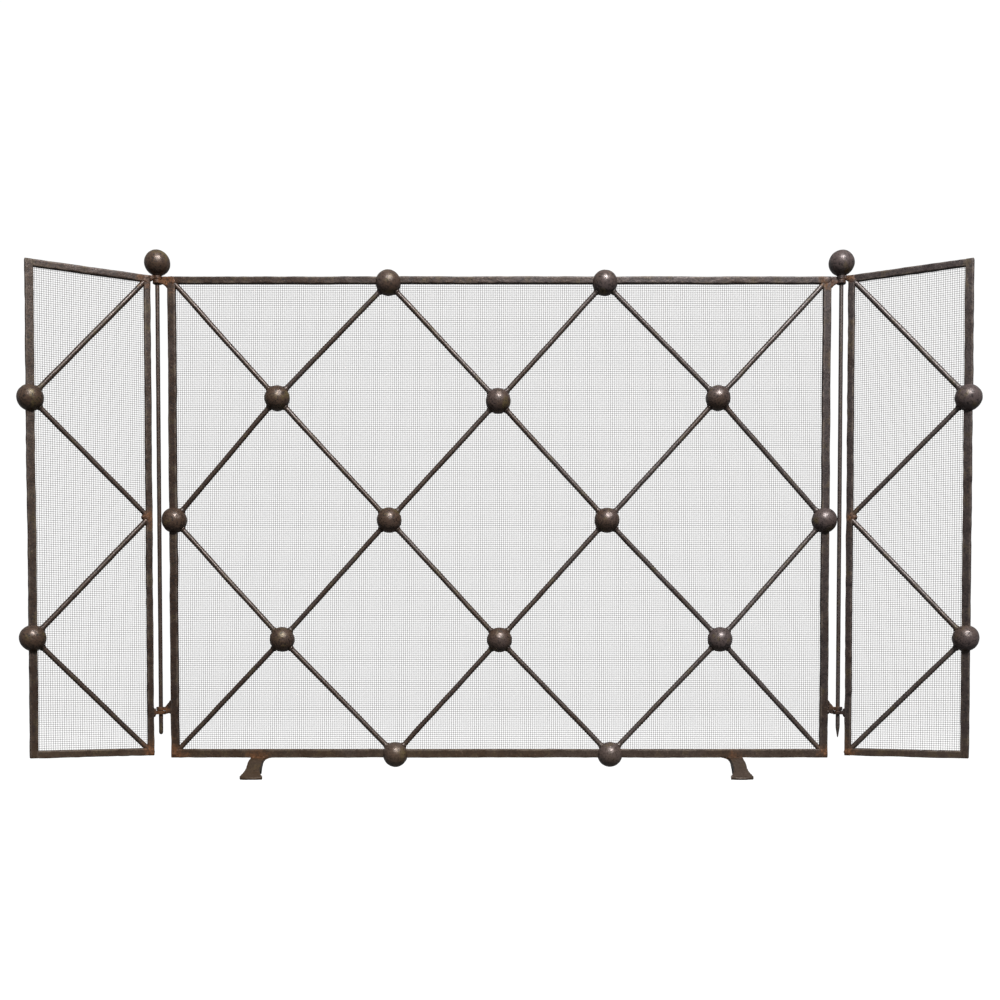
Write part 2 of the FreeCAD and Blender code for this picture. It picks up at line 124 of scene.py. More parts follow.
# Studio
PAPER_TONE = 0.10
PAPER_GLOW = 0.97
FLOOR_RADIUS = 4.2
FLOOR_RINGS = (1.2, 2.6, FLOOR_RADIUS)
WALL_BEND = 1.6
WALL_HEIGHT = 3.4
BEND_STEPS = 12
STAGE_SIDES = 96
ROOM_COLOUR = (0.96, 0.98, 1.0, 1.0)
ROOM_LIGHT = (-0.5, 0.7, 0.16, 0.42)  # two upward parts of a direction, and the room's strength at each
KEY_PLACE = (0.62, -2.84, 3.14)
KEY_TARGET = (0.0, 0.0, 0.4)
KEY_SIZE = (0.9, 0.75)
KEY_POWER = 290

# Widths of the iron's mottling
BROAD_WIDTH = 0.085
PATCH_WIDTH = 0.017
FLECK_WIDTH = 0.0030
GRAIN_WIDTH = 0.0009

# Seeds
CENTRE_SEED = 100
BALL_SEED = 1000
ROD_SEED = 2000
WING_SEED = 5000
WING_SEED_STEP = 1000

# Eyes, pins, finials and feet
BORE_CLEARANCE = 0.0004
PIN_POINT_LENGTH = 0.016
PIN_TIP_RADIUS = 0.0008
FINE_VOXEL = 0.00055
FINIAL_VOXEL = 0.0007
FOOT_VOXEL = 0.0010

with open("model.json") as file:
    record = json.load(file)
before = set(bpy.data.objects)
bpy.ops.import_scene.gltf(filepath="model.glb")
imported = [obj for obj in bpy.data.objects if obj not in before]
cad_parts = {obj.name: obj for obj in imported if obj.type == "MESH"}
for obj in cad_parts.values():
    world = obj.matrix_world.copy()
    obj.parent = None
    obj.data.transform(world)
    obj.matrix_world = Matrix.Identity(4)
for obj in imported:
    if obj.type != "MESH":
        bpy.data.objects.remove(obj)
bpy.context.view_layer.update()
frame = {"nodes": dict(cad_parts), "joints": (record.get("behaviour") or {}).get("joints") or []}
nodes = frame["nodes"]


def size_of(node):
    low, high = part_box(node)
    return high - low


# Sizes of the CAD
BALL_RADIUS = size_of("left_pin_finial")[0] / 2
PIN_RADIUS = size_of("left_pin_rod")[0] / 2
ROD_RADIUS = size_of("centre_falling_rods_1")[1] / 2
HALF_DEPTH = size_of("centre_left_stile")[1] / 2


# ---- noise ----

def hashed(cells, seed):
    """A repeatable value from -1 to 1 for each whole-numbered cell."""
    mixed = cells @ np.array([73856093, 19349663, 83492791]) + seed * 265443
    mixed = (mixed ^ (mixed >> 13)) * 1274126177
    mixed = (mixed ^ (mixed >> 16)) & 0xFFFFFF
    return mixed / 0x7FFFFF - 1


def noise(points, width, seed):
    """Smooth noise from -1 to 1 at each point, with bumps about width metres across."""
    cell = np.asarray(points) / width
    base = np.floor(cell).astype(np.int64)
    blend = cell - base
    blend = blend * blend * (3 - 2 * blend)
    total = np.zeros(cell.shape[:-1])
    for corner in itertools.product((0, 1), repeat=3):
        weight = np.prod(np.where(corner, blend, 1 - blend), axis=-1)
        total += weight * hashed(base + np.array(corner), seed)
    return total


def marks(points, seed, *layers):
    """The summed height of several layers of noise, each a (height, width) pair."""
    return sum(height * noise(points, width, seed + i) for i, (height, width) in enumerate(layers))


# ---- panels ----

class Panel:
    """One panel of the screen, with its own axes: along, back and up, from a root on its mid-plane."""

    def __init__(self, body, prefix, root, along):
        self.body = body
        self.prefix = prefix
        self.root = np.array([root[0], root[1], 0.0])
        self.along = np.array([along[0], along[1], 0.0]) / math.hypot(along[0], along[1])
        back = np.cross([0.0, 0.0, 1.0], self.along)
        self.back = back if back[1] > 0 else -back
        self.axes = np.array([self.along, self.back, [0.0, 0.0, 1.0]])

    def place(self, points):
        return self.root + np.asarray(points) @ self.axes

    def local(self, points):
        return (np.asarray(points) - self.root) @ self.axes.T

    def extent(self, node):
        """Lowest and highest corner of one of this panel's CAD nodes, in the panel's own axes."""
        points = self.local([v.co for v in nodes[self.prefix + node].data.vertices])
        return points.min(0), points.max(0)

    def middle(self, node):
        low, high = self.extent(node)
        return (low + high) / 2

    def width(self, node):
        low, high = self.extent(node)
        return high[0] - low[0]


def centre_of(node):
    low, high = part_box(node)
    return (low + high) / 2


def make_panels():
    left, right = centre_of("centre_left_stile"), centre_of("centre_right_stile")
    found = {"centre": Panel("centre_panel", "centre_", (left + right) / 2, right - left)}
    for side in ("left", "right"):
        joint = next(j for j in frame["joints"] if j["name"] == f"{side}_wing_swing")
        pin = joint["pos_m"]
        outer = centre_of(f"{side}_wing_outer_stile")
        found[side] = Panel(f"{side}_wing", f"{side}_wing_", pin, (outer[0] - pin[0], outer[1] - pin[1]))
    return found


# ---- meshes ----

def quads_mesh(name, points, faces):
    """A mesh of four-sided faces only, made quickly."""
    mesh = bpy.data.meshes.new(name)
    mesh.vertices.add(len(points))
    mesh.vertices.foreach_set("co", np.asarray(points, np.float32).ravel())
    mesh.loops.add(faces.size)
    mesh.loops.foreach_set("vertex_index", faces.astype(np.int32).ravel())
    mesh.polygons.add(len(faces))
    mesh.polygons.foreach_set("loop_start", np.arange(0, faces.size, 4, dtype=np.int32))
    mesh.update(calc_edges=True)
    return mesh


def joined(shells):
    """One list of points and one of faces from several shells."""
    points, faces, start = [], [], 0
    for shell_points, shell_faces in shells:
        points.append(shell_points)
        faces += [[start + corner for corner in face] for face in shell_faces]
        start += len(shell_points)
    return np.concatenate(points), faces


def any_mesh(name, points, faces):
    mesh = bpy.data.meshes.new(name)
    mesh.from_pydata(points.tolist(), [], faces)
    face_outwards(mesh)
    return mesh


def face_outwards(mesh):
    """Turns every face outwards."""
    shape = bmesh.new()
    shape.from_mesh(mesh)
    bmesh.ops.recalc_face_normals(shape, faces=shape.faces)
    shape.to_mesh(mesh)
    shape.free()
    mesh.update()


def coordinates(mesh):
    points = np.zeros(len(mesh.vertices) * 3, np.float32)
    mesh.vertices.foreach_get("co", points)
    return points.reshape(-1, 3).astype(float)


def attribute(mesh, name, values):
    layer = mesh.attributes.new(name, "FLOAT", "POINT")
    layer.data.foreach_set("value", np.asarray(values, np.float32))


def add_piece(name, mesh, body, materials, replaced=()):
    """Puts a finished mesh into the scene as one piece that rides on a body."""
    mesh.shade_smooth()
    for material in materials:
        mesh.materials.append(material)
    piece = bpy.data.objects.new(name, mesh)
    bpy.context.scene.collection.objects.link(piece)
    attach(piece, body)
    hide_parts(*replaced)


# ---- shells ----

def ring_faces(rings, corners):
    """Faces of a closed solid of stacked rings, with a many-sided face on each end."""
    faces = []
    for ring in range(rings - 1):
        for corner in range(corners):
            following = (corner + 1) % corners
            low, high = ring * corners, (ring + 1) * corners
            faces.append([low + corner, low + following, high + following, high + corner])
    faces.append(list(range(corners))[::-1])
    faces.append([(rings - 1) * corners + corner for corner in range(corners)])
    return faces


def end_rounding(stations, radius):
    """How far each ring of a sweep shrinks so that the sweep's two ends are rounded."""
    from_end = np.minimum(stations - stations[0], stations[-1] - stations)
    inside = np.clip(1 - from_end / radius, 0, 1)
    return -radius * (1 - np.sqrt(1 - 0.98 * inside ** 2))


def stations_along(length, step, radius, fine):
    """Distances of the rings along a sweep, closer together at its ends and over a fine stretch there."""
    near = np.concatenate([np.array([0.0, 0.12, 0.4]) * radius, np.arange(radius, fine, FINE_STEP)])
    first = max(near[-1], radius / 2) + step / 2
    middle = np.linspace(first, length - first, max(2, round((length - 2 * first) / step)))
    return np.concatenate([near, middle, length - near[::-1]])


def bar_outline(width, depth, radius):
    """Points round a bar with worn corners, the outward direction at each, and which are on a corner."""
    points, outward, on_edge = [], [], []
    for across, through, start in ((1, 1, 0), (-1, 1, 90), (-1, -1, 180), (1, -1, 270)):
        centre = np.array([across * (width / 2 - radius), through * (depth / 2 - radius)])
        for step in range(CORNER_POINTS):
            angle = math.radians(start + 90 * step / (CORNER_POINTS - 1))
            direction = np.array([math.cos(angle), math.sin(angle)])
            points.append(centre + radius * direction)
            outward.append(direction)
            on_edge.append(1.0)
        side = math.radians(start + 90)
        last = points[-1]
        run = (depth if across * through < 0 else width) - 2 * radius
        travel = np.array([-math.sin(side), math.cos(side)])
        for step in range(1, BAR_SIDE_POINTS + 1):
            points.append(last + travel * run * step / (BAR_SIDE_POINTS + 1))
            outward.append(np.array([math.cos(side), math.sin(side)]))
            on_edge.append(0.0)
    return np.array(points), np.array(outward), np.array(on_edge)


def round_outline(radius):
    angles = np.arange(ROD_SIDES) * 2 * math.pi / ROD_SIDES
    outward = np.column_stack([np.cos(angles), np.sin(angles)])
    return radius * outward, outward, np.zeros(ROD_SIDES)


def sweep(start, end, outline, step, end_radius, layers, wander, seed, swell=None, fine=0.0):
    """A hammered solid swept from start to end. Returns its points, faces and edge wear.

    swell gives how far the surface stands out at each distance along the sweep.
    """
    shape, outward, on_edge = outline
    start, end = np.asarray(start, float), np.asarray(end, float)
    length = np.linalg.norm(end - start)
    up = (end - start) / length
    across = np.array([1.0, 0.0, 0.0]) if abs(up[0]) < 0.99 else np.array([0.0, 0.0, -1.0])
    across = across - up * (across @ up)
    across /= np.linalg.norm(across)
    through = np.cross(up, across)
    distance = stations_along(length, step, end_radius, fine)
    centres = start + distance[:, None] * up
    height, width = wander
    drift = np.minimum(1, np.minimum(distance, length - distance) / 0.03)
    centres = centres + (height * drift * noise(centres, width, seed + 50))[:, None] * across
    grow = end_rounding(distance, end_radius)
    if swell is not None:
        grow = grow + swell(distance, length)
    section = shape[None] + outward[None] * grow[:, None, None]
    points = centres[:, None] + section[..., :1] * across + section[..., 1:] * through
    normal = outward[:, :1] * across + outward[:, 1:] * through
    points = points + normal[None] * marks(points, seed, *layers)[..., None]
    faces = ring_faces(len(distance), len(shape))
    return points.reshape(-1, 3), faces, np.tile(on_edge, len(distance))


def ball_shell(centre, seed):
    """A forged ball with many shallow hammer flats."""
    blank = bmesh.new()
    bmesh.ops.create_icosphere(blank, subdivisions=BALL_SUBDIVISIONS, radius=1.0)
    directions = np.array([v.co for v in blank.verts])
    faces = [[v.index for v in f.verts] for f in blank.faces]
    blank.free()
    draw = np.random.default_rng(seed)
    flats = draw.normal(size=(BALL_FLATS, 3))
    flats /= np.linalg.norm(flats, axis=1)[:, None]
    planes = BALL_RADIUS - draw.uniform(*FLAT_DEPTH, BALL_FLATS)
    reach = planes / np.maximum(directions @ flats.T, 0.2)
    distance = np.minimum(BALL_RADIUS, reach.min(1))
    distance = distance + marks(directions * BALL_RADIUS, seed, BALL_SWELL, BALL_PITS)
    return np.asarray(centre) + directions * distance[:, None], faces


def lump(centre, radii):
    """A plain rounded blank for a weld bead, to be fused with others."""
    blank = bmesh.new()
    bmesh.ops.create_icosphere(blank, subdivisions=3, radius=1.0)
    points = np.array([v.co for v in blank.verts]) * np.asarray(radii) + np.asarray(centre)
    faces = [[v.index for v in f.verts] for f in blank.faces]
    blank.free()
    return points, faces


def node_shell(node):
    """The points and faces of a CAD node, with its doubled corners merged."""
    blank = bmesh.new()
    blank.from_mesh(nodes[node].data)
    bmesh.ops.remove_doubles(blank, verts=blank.verts, dist=1e-6)
    blank.verts.ensure_lookup_table()
    points = np.array([v.co for v in blank.verts])
    faces = [[v.index for v in f.verts] for f in blank.faces]
    blank.free()
    return points, faces


def fused(name, shells, voxel, relax, layers, seed):
    """One skin over overlapping shells, softened and then dented."""
    blank = bpy.data.objects.new(name, any_mesh(name, *joined(shells)))
    bpy.context.scene.collection.objects.link(blank)
    skin = blank.modifiers.new("skin", "REMESH")
    skin.mode = "VOXEL"
    skin.voxel_size = voxel
    soften = blank.modifiers.new("soften", "SMOOTH")
    soften.factor = 0.5
    soften.iterations = relax
    depsgraph = bpy.context.evaluated_depsgraph_get()
    mesh = bpy.data.meshes.new_from_object(blank.evaluated_get(depsgraph))
    plain = blank.data
    bpy.data.objects.remove(blank)
    bpy.data.meshes.remove(plain)
    points = coordinates(mesh)
    normals = np.zeros(points.size, np.float32)
    mesh.vertex_normals.foreach_get("vector", normals)
    points = points + normals.reshape(-1, 3) * marks(points, seed, *layers)[:, None]
    mesh.vertices.foreach_set("co", points.astype(np.float32).ravel())
    mesh.update()
    return mesh


# ---- rust ----

class Rust:
    """The places where the iron was heated and has rusted since, each a point and a reach."""

    marks = []

    @classmethod
    def mark(cls, point, reach, share):
        cls.marks.append((point, reach, share))

    @classmethod
    def at(cls, points):
        """From 0 to 1 at each point, by how near it is to such a place."""
        amount = np.zeros(len(points))
        for place, reach, share in cls.marks:
            near = np.linalg.norm(points - place, axis=1) / reach
            amount = np.maximum(amount, share * np.exp(-near ** 2))
        return amount


def add_iron(name, mesh, body, material, replaced=(), edge=None, rust=0.0):
    """A piece of iron, with its rust and its worn edges stored on its points."""
    points = coordinates(mesh)
    attribute(mesh, "rust", np.clip(Rust.at(points) + rust, 0, 1))
    attribute(mesh, "edge", np.zeros(len(points)) if edge is None else edge)
    add_piece(name, mesh, body, [material], replaced)


def add_swept(name, panel, sweeps, material, replaced=()):
    """One piece made of several sweeps in a panel's own coordinates."""
    shells = [(panel.place(points), faces) for points, faces, _ in sweeps]
    mesh = any_mesh(name, *joined(shells))
    edge = np.concatenate([wear for _, _, wear in sweeps])
    add_iron(name, mesh, panel.body, material, replaced, edge)


# ---- materials ----

def tone(red, green, blue):
    """A linear colour from one in display values."""
    return tuple(((c / 255 + 0.055) / 1.055) ** 2.4 for c in (red, green, blue)) + (1.0,)


class Graph:
    """Adds nodes to a new material and links them by what their sockets are given."""

    def __init__(self, name):
        self.material = bpy.data.materials.new(name)
        self.material.use_nodes = True
        self.tree = self.material.node_tree
        self.shader = self.tree.nodes["Principled BSDF"]
        self.coords = self.add("TexCoord").outputs["Object"]

    def add(self, kind, sockets=(), **settings):
        added = self.tree.nodes.new("ShaderNode" + kind)
        for key, value in settings.items():
            setattr(added, key, value)
        for key, value in dict(sockets).items():
            self.set(added.inputs[key], value)
        return added

    def set(self, socket, value):
        if isinstance(value, bpy.types.NodeSocket):
            self.tree.links.new(value, socket)
        else:
            socket.default_value = value

    def noise(self, width, detail=3.0, roughness=0.55):
        """Noise with patches about width metres across, from 0 to 1."""
        sockets = {"Vector": self.coords, "Scale": 1 / width, "Detail": detail, "Roughness": roughness}
        return self.add("TexNoise", sockets).outputs["Fac"]

    def ramp(self, value, low, high, bottom=0.0, top=1.0):
        """value from low to high, mapped smoothly to bottom to top and held outside that."""
        sockets = {"Value": value, "From Min": low, "From Max": high, "To Min": bottom, "To Max": top}
        return self.add("MapRange", sockets, interpolation_type="SMOOTHSTEP").outputs["Result"]

    def math(self, operation, first, second):
        return self.add("Math", {0: first, 1: second}, operation=operation).outputs[0]

    def mix(self, share, first, second):
        """The first colour with some of the second over it."""
        added = self.add("Mix", data_type="RGBA")
        self.set(added.inputs[0], share)
        self.set(added.inputs[6], first)
        self.set(added.inputs[7], second)
        return added.outputs[2]

    def stored(self, name):
        return self.add("Attribute", attribute_name=name).outputs["Fac"]

    def bump(self, height, distance, strength, normal=None):
        sockets = {"Height": height, "Distance": distance, "Strength": strength}
        if normal is not None:
            sockets["Normal"] = normal
        return self.add("Bump", sockets).outputs["Normal"]


def forged_iron(name, brown, grey, olive, gloss=0.0, rust_share=1.0):
    """Blackened iron: mottled brown, grey and olive scale, rust by the welds, rubbed edges, and a painted
    floor bounce that lightens it near the floor.
    """
    g = Graph(name)
    broad = g.noise(BROAD_WIDTH, 2.0)
    patches = g.noise(PATCH_WIDTH, 3.0)
    flecks = g.noise(FLECK_WIDTH, 4.0, 0.65)
    grain = g.noise(GRAIN_WIDTH, 2.0, 0.6)
    place = g.add("SeparateXYZ", {0: g.coords}).outputs
    to_grey = g.math("ADD", g.ramp(place["X"], -0.75, 0.75, -0.22, 0.16), broad)
    colour = g.mix(g.ramp(to_grey, 0.36, 0.66), brown, grey)
    colour = g.mix(g.ramp(patches, 0.52, 0.72, 0.0, 0.75), colour, olive)
    dark = g.ramp(flecks, 0.32, 0.54, 0.90, 0.0)
    colour = g.mix(dark, colour, tone(20, 15, 15))
    light = g.ramp(flecks, 0.58, 0.74, 0.0, 0.50)
    colour = g.mix(light, colour, tone(108, 93, 82))
    # painted floor bounce: below about 8 cm the iron is mixed towards a light tan, a painted light standing
    # in for light bounced up from the floor onto the lowest parts
    painted_floor_bounce = g.ramp(place["Z"], 0.02, 0.08, 0.14, 0.0)
    colour = g.mix(painted_floor_bounce, colour, tone(118, 96, 68))
    edge = g.math("MULTIPLY", g.stored("edge"), g.ramp(patches, 0.38, 0.60))
    colour = g.mix(g.math("MULTIPLY", edge, 0.26), colour, tone(120, 108, 98))
    uneven = g.math("ADD", g.stored("rust"), g.ramp(patches, 0.35, 0.70, -0.30, 0.18))
    rust = g.ramp(uneven, 0.15, 0.90, 0.0, 0.80 * rust_share)
    rust_tone = g.mix(g.ramp(flecks, 0.36, 0.64), tone(70, 46, 28), tone(112, 71, 40))
    colour = g.mix(rust, colour, rust_tone)
    g.set(g.shader.inputs["Base Color"], colour)
    rough = g.ramp(patches, 0.30, 0.70, 0.42 - gloss, 0.58 - gloss)
    rough = g.math("ADD", rough, g.ramp(flecks, 0.30, 0.70, 0.06, -0.05))
    rough = g.math("ADD", rough, g.math("MULTIPLY", rust, 0.22))
    g.set(g.shader.inputs["Roughness"], rough)
    normal = g.bump(flecks, 0.0006, 0.55)
    normal = g.bump(grain, 0.00022, 0.45, normal)
    g.set(g.shader.inputs["Normal"], normal)
    g.shader.inputs["Metallic"].default_value = 0.30
    g.shader.inputs["Specular IOR Level"].default_value = 0.20 + 3.0 * gloss
    return g.material


def screw_steel():
    """Dulled steel, with a brushed grain and brown in its low places."""
    g = Graph("screw_steel")
    patches = g.noise(0.0016, 3.0)
    grain = g.noise(0.00035, 2.0)
    colour = g.mix(g.ramp(patches, 0.38, 0.66), tone(92, 84, 76), tone(150, 142, 132))
    colour = g.mix(g.ramp(grain, 0.55, 0.75, 0.0, 0.5), colour, tone(88, 58, 38))
    g.set(g.shader.inputs["Base Color"], colour)
    g.set(g.shader.inputs["Roughness"], g.ramp(patches, 0.3, 0.7, 0.34, 0.52))
    g.set(g.shader.inputs["Normal"], g.bump(grain, 0.0001, 0.4))
    g.shader.inputs["Metallic"].default_value = 0.85
    return g.material


def wire_steels():
    """A few tones of drawn steel wire, from oxide black to a little rusty."""
    tones = [tone(58, 52, 50), tone(72, 66, 63), tone(66, 56, 50), tone(84, 76, 72)]
    made = []
    for number, colour in enumerate(tones, 1):
        g = Graph(f"wire_steel_{number}")
        g.shader.inputs["Base Color"].default_value = colour
        g.shader.inputs["Roughness"].default_value = 0.48
        g.shader.inputs["Metallic"].default_value = 0.35
        made.append(g.material)
    return made


# ---- frames ----

def add_bar(panel, node, material, seed, ends=(0.0, 0.0)):
    """A hammered flat bar in the place of a stile or a rail. ends is how far it runs on past the CAD bar."""
    low, high = panel.extent(node)
    middle = (low + high) / 2
    size = high - low
    upright = size[2] > size[0]
    run = 2 if upright else 0
    across = 0 if upright else 2
    outline = bar_outline(size[across], size[1], BAR_CORNER)
    start, end = middle.copy(), middle.copy()
    start[run] = low[run] - ends[0]
    end[run] = high[run] + ends[1]
    layers = (BAR_DENTS, BAR_PITS)
    made = sweep(start, end, outline, BAR_STEP, BAR_CORNER, layers, BAR_WANDER, seed)
    name = "forged_" + panel.prefix + node
    add_swept(name, panel, [made], material, [panel.prefix + node])


def add_frame(panel, stiles, material, seed):
    for offset, node in enumerate(stiles):
        add_bar(panel, node, material, seed + 10 * offset)
    for offset, node in enumerate(("top_rail", "bottom_rail")):
        add_bar(panel, node, material, seed + 40 + 10 * offset, (SPARE, SPARE))


# ---- rods and balls ----

def collar(at_start, at_end, radius):
    """How much a rod swells into weld beads where it enters a ball at either end."""
    def swell(distance, length):
        grown = np.zeros(len(distance))
        for wanted, from_end in ((at_start, distance), (at_end, length - distance)):
            if wanted:
                outside = np.abs(from_end - radius)
                grown += COLLAR_HEIGHT * np.exp(-(outside / COLLAR_LENGTH) ** 2)
        return grown
    return swell


def rod_sweep(start, end, bury, seed):
    """One rod between two points. bury is how far each end stops short of its point, or None at a ball."""
    start, end = np.asarray(start, float), np.asarray(end, float)
    up = (end - start) / np.linalg.norm(end - start)
    in_ball = [short is None for short in bury]
    short_of = [BALL_RADIUS - BALL_BURY if short is None else short for short in bury]
    swell = collar(*in_ball, BALL_BURY)
    outline = round_outline(ROD_RADIUS)
    first, last = start + up * short_of[0], end - up * short_of[1]
    layers = (ROD_DENTS,)
    return sweep(first, last, outline, ROD_STEP, ROD_END_RADIUS, layers, ROD_WANDER, seed, swell, ROD_FINE)


class Lattice:
    """The centre panel's lattice points, by column and row, taken from its balls and its frame's corners."""

    ball_rows = ("bottom_balls", "lower_balls", "middle_balls", "upper_balls", "top_balls")
    top = len(ball_rows) - 1

    def __init__(self, panel):
        self.points = {}
        reach = panel.middle("right_stile")[0]
        for row, name in enumerate(self.ball_rows):
            spots = panel.local([v.co for v in nodes[panel.prefix + name].data.vertices])
            columns = np.round(spots[:, 0] / reach * LAST_COLUMN)
            for column in np.unique(columns):
                ball = spots[columns == column]
                self.points[int(column), row] = (ball.min(0) + ball.max(0)) / 2
        self.balls = list(self.points.values())
        rows = {0: panel.middle("bottom_rail")[2], self.top: panel.middle("top_rail")[2]}
        self.corners = [(column, row) for column in (-LAST_COLUMN, LAST_COLUMN) for row in rows]
        for column, row in self.corners:
            self.points[column, row] = np.array([math.copysign(reach, column), 0.0, rows[row]])

    def point(self, column, row):
        return self.points[column, row]


def add_centre_lattice(panel, lattice, iron, ball_iron):
    for row, name in enumerate(Lattice.ball_rows):
        here = [place for place in lattice.points if place[1] == row and place not in lattice.corners]
        row_seed = BALL_SEED + 20 * row
        shells = [ball_shell(lattice.point(*place), row_seed + place[0]) for place in here]
        add_balls(panel, name, shells, ball_iron)
    starts = [(-LAST_COLUMN, 2), (-LAST_COLUMN, lattice.top), (-1, lattice.top), (1, lattice.top)]
    for number, (start_column, start_row) in enumerate(starts, 1):
        for turn, kind in ((1, "falling"), (-1, "rising")):
            sweeps = []
            column, row = start_column, start_row
            while row > 0 and column < LAST_COLUMN:
                ends = (turn * column, row), (turn * (column + 1), row - 1)
                bury = [CORNER_BURY if place in lattice.corners else None for place in ends]
                seed = ROD_SEED + 100 * number + 10 * row + turn
                points = [lattice.point(*place) for place in ends]
                sweeps.append(rod_sweep(*points, bury, seed))
                column += 1
                row -= 1
            node = f"{kind}_rods_{number}"
            add_swept("forged_centre_" + node, panel, sweeps, iron, ["centre_" + node])


def add_balls(panel, node, shells, material):
    placed = [(panel.place(points), faces) for points, faces in shells]
    name = panel.prefix + node
    mesh = any_mesh("forged_" + name, *joined(placed))
    add_iron("forged_" + name, mesh, panel.body, material, [name])


def wing_points(panel):
    """The wing's rod ends from the bottom up: hinge corner, ball, middle joint, ball, hinge corner.

    The stile takes away a CAD ball's two poles, so the ball reaches a little less than its radius each way.
    """
    hinge, outer = panel.middle("hinge_stile"), panel.middle("outer_stile")
    low, high = panel.extent("balls")
    joint_z = (panel.extent("upper_rods")[0][2] + panel.extent("lower_rods")[1][2]) / 2
    reach = math.sqrt(BALL_RADIUS ** 2 - HALF_DEPTH ** 2)
    heights = [panel.middle("bottom_rail")[2], low[2] + reach, joint_z]
    heights += [high[2] - reach, panel.middle("top_rail")[2]]
    return [np.array([(hinge, outer)[i % 2][0], 0.0, z]) for i, z in enumerate(heights)]


def add_wing_lattice(panel, points, iron, ball_iron, seed):
    rods = []
    bury = [CORNER_BURY, None, SPARE, None, CORNER_BURY]
    for i, (start, end) in enumerate(zip(points, points[1:])):
        rods.append(rod_sweep(start, end, bury[i:i + 2], seed + 7 * i))
    for node, sweeps in (("lower_rods", rods[:2]), ("upper_rods", rods[2:])):
        name = panel.prefix + node
        add_swept("forged_" + name, panel, sweeps, iron, [name])
    shells = [ball_shell(points[i], seed + 60 + i) for i in (1, 3)]
    add_balls(panel, "balls", shells, ball_iron)


# ---- welds ----

def corner_weld(point, inward, upward):
    """The beads over a frame's corner and the filling where the rod leaves it."""
    front = [0, -HALF_DEPTH + FRONT_INSET, 0]
    start = np.asarray(point)
    inner = np.array([inward, 0, upward])
    face = [lump(start + front + inner * away, radii) for away, radii in CORNER_FACE_BEADS]
    return face + [lump(start + inner * away, radii) for away, radii in CORNER_FILL_BEADS]


def joint_weld(point, inward):
    """The beads that fill the V where two rods meet on a stile."""
    start = np.asarray(point)
    fill = [lump(start + [inward * away, 0, 0], radii) for away, radii in JOINT_FILL_BEADS]
    away, raised, radii = JOINT_FACE_BEAD
    return fill + [lump(start + [inward * away, -HALF_DEPTH + FRONT_INSET, raised], radii)]


def add_welds(name, panel, shells, material, seed):
    placed = [(panel.place(points), faces) for points, faces in shells]
    mesh = fused(name, placed, FINE_VOXEL, 4, (WELD_LUMPS,), seed)
    add_iron(name, mesh, panel.body, material, rust=WELD_RUST)


# ---- woven wire ----

def wire_run(lines, numbers, crossings, over):
    """How far across, back and along every ring of parallel wires has its corners, one ring a crossing."""
    radius = WIRE_DIAMETER / 2
    parity = (numbers[:, None] + np.arange(len(crossings))[None, :]) % 2
    lift = np.where(parity, over, -over) * radius
    back = lift[..., None] + np.array([0, radius, 0, -radius])
    across = lines[:, None, None] + np.array([radius, 0, -radius, 0])
    along = crossings[None, :, None]
    return np.broadcast_to(across, back.shape), back, np.broadcast_to(along, back.shape)


def wire_faces(keep):
    """Faces of the wires whose rings are kept, with an end on every run."""
    lines, rings = keep.shape
    corner = np.arange(lines * rings * 4).reshape(lines, rings, 4)
    both = keep[:, :-1] & keep[:, 1:]
    low, high = corner[:, :-1][both], corner[:, 1:][both]
    sides = np.stack([low, np.roll(low, -1, 1), np.roll(high, -1, 1), high], axis=-1).reshape(-1, 4)
    before = np.pad(keep, ((0, 0), (1, 0)))[:, :-1]
    after = np.pad(keep, ((0, 0), (0, 1)))[:, 1:]
    starts = corner[keep & ~before][:, ::-1]
    ends = corner[keep & ~after]
    return np.concatenate([sides, starts, ends])


def add_wires(panel, name, upright, lines, numbers, crossings, depth, balls, materials):
    """One piece of parallel wires, cut off inside the balls. numbers are their places in the whole weave."""
    side, run = (0, 2) if upright else (2, 0)
    across, back, along = wire_run(lines, numbers, crossings, 1 if upright else -1)
    points = np.zeros(back.shape + (3,))
    points[..., side] = across
    points[..., 1] = depth + back
    points[..., run] = along
    height, width = WIRE_WOBBLE
    flat = points[..., :1, :] * np.array([1, 0, 1])
    points[..., side] += height * noise(flat, width, WEAVE_SEED + side)
    centres = points.mean(axis=2)
    keep = np.ones(centres.shape[:2], bool)
    for ball in balls:
        keep &= np.hypot(centres[..., 0] - ball[0], centres[..., 2] - ball[2]) > BALL_HOLE
    keep &= np.pad(keep, ((0, 0), (1, 0)))[:, :-1] | np.pad(keep, ((0, 0), (0, 1)))[:, 1:]
    faces = wire_faces(keep)
    used, packed = np.unique(faces, return_inverse=True)
    packed = packed.reshape(faces.shape)
    mesh = quads_mesh(name, panel.place(points.reshape(-1, 3)[used]), packed)
    wire = faces[:, 0] // (4 * len(crossings))
    draw = np.random.default_rng(WEAVE_SEED + int(numbers[0]))
    tones = draw.integers(0, len(materials), len(lines))
    mesh.polygons.foreach_set("material_index", tones[wire].astype(np.int32))
    face_outwards(mesh)
    add_piece(name, mesh, panel.body, materials, [panel.prefix + "mesh"])


def add_weave(panel, balls, materials, splits):
    """Upright and level wires over the whole of a panel's mesh plate."""
    low, high = panel.extent("mesh")
    depth = (low[1] + high[1]) / 2
    columns = spaced(low[0], high[0])
    rows = spaced(low[2], high[2])
    row_stops = np.concatenate([[low[2]], rows, [high[2]]])
    column_stops = np.concatenate([[low[0]], columns, [high[0]]])
    for upright, lines, stops in ((True, columns, row_stops), (False, rows, column_stops)):
        kind = "upright_wires" if upright else "level_wires"
        for part, numbers in enumerate(np.array_split(np.arange(len(lines)), splits), 1):
            name = f"{panel.prefix}{kind}_{part}"
            add_wires(panel, name, upright, lines[numbers], numbers, stops, depth, balls, materials)


